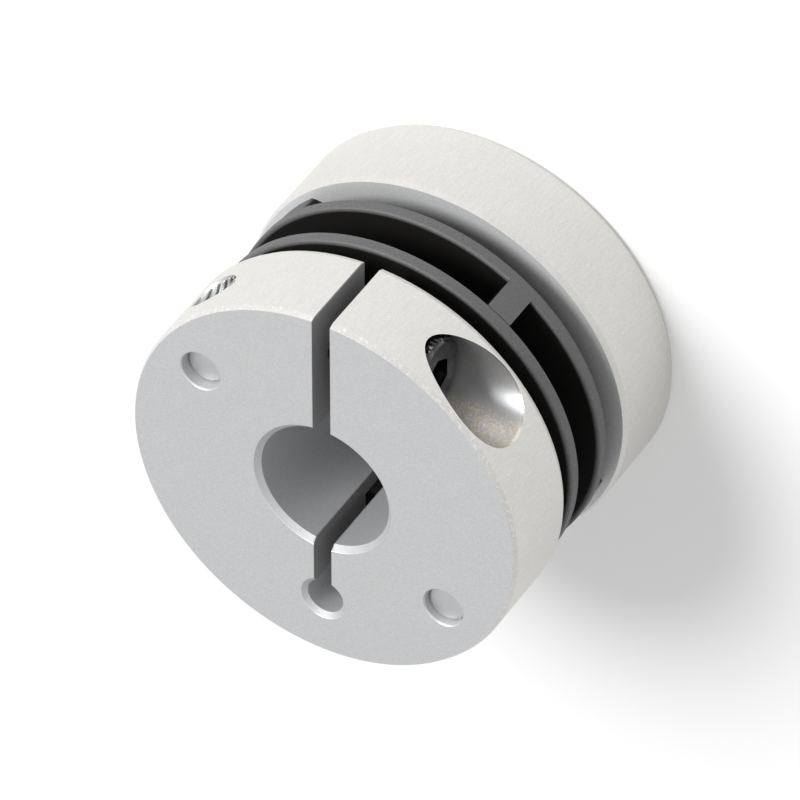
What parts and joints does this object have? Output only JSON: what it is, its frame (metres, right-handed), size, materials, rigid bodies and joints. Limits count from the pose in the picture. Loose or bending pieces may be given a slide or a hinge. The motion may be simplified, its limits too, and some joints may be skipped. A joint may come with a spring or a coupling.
{
  "type": "disc coupling",
  "caption": "Flexible shaft coupling: split clamp hubs joined through thin bending plastic discs, linking two shafts that are slightly out of line.",
  "frame": {"origin": "centre of the rear hub's outer face, on the shaft axis", "axes": "+Z along the shaft axis, from the rear hub to the front hub; +Y out through the open end of the front hub's clamp slot; +X towards the side where the head of the front clamp screw lies"},
  "size_m": [0.03, 0.03, 0.0223],
  "materials": {
    "hub_anodised": "clear anodised: turned rim, blasted end faces",
    "pin_steel": "ground, light grey",
    "screw_black": "black oxide",
    "disc_moulding": "dark grey moulding, fine matt grain"
  },
  "bodies": {
    "root": {"front_hub": "hub_anodised", "rear_hub": "hub_anodised", "front_clamp_screw": "screw_black", "rear_clamp_screw": "screw_black", "front_pin_a": "pin_steel", "front_pin_b": "pin_steel", "rear_pin_a": "pin_steel", "rear_pin_b": "pin_steel", "front_disc": "disc_moulding", "rear_disc": "disc_moulding"}
  },
  "joints": []
}
